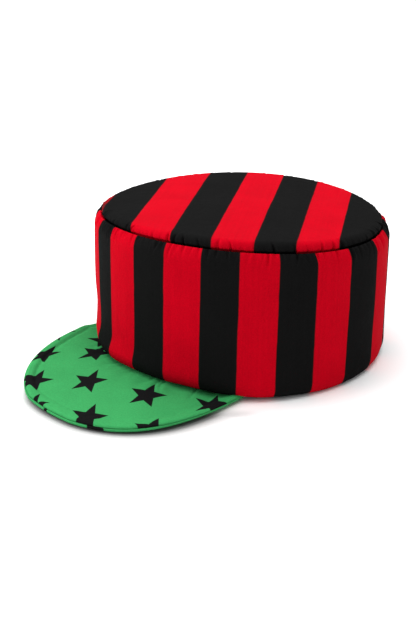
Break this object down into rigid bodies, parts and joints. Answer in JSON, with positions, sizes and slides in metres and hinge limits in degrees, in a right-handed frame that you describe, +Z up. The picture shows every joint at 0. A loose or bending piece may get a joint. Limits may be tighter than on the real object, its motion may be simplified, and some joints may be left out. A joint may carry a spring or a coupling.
{
  "type": "striped cap with a starred brim",
  "caption": "Soft padded drum-shaped cap with a flat round top, a straight striped side wall and a short flat brim printed with stars.",
  "frame": {"origin": "on the surface the cap lies on, under the middle of its overall box", "axes": "+Z up through the crown, -Y towards the brim's tip, +X towards the wearer's left"},
  "size_m": [0.2063, 0.2725, 0.1097],
  "materials": {
    "striped_cloth": "matte woven cotton, upright red and black stripes",
    "star_cloth": "matte woven cotton, green with black five-pointed stars"
  },
  "bodies": {
    "root": {"crown_band": "striped_cloth", "crown_top": "striped_cloth", "brim_top": "star_cloth", "brim_under": "star_cloth"}
  },
  "joints": []
}
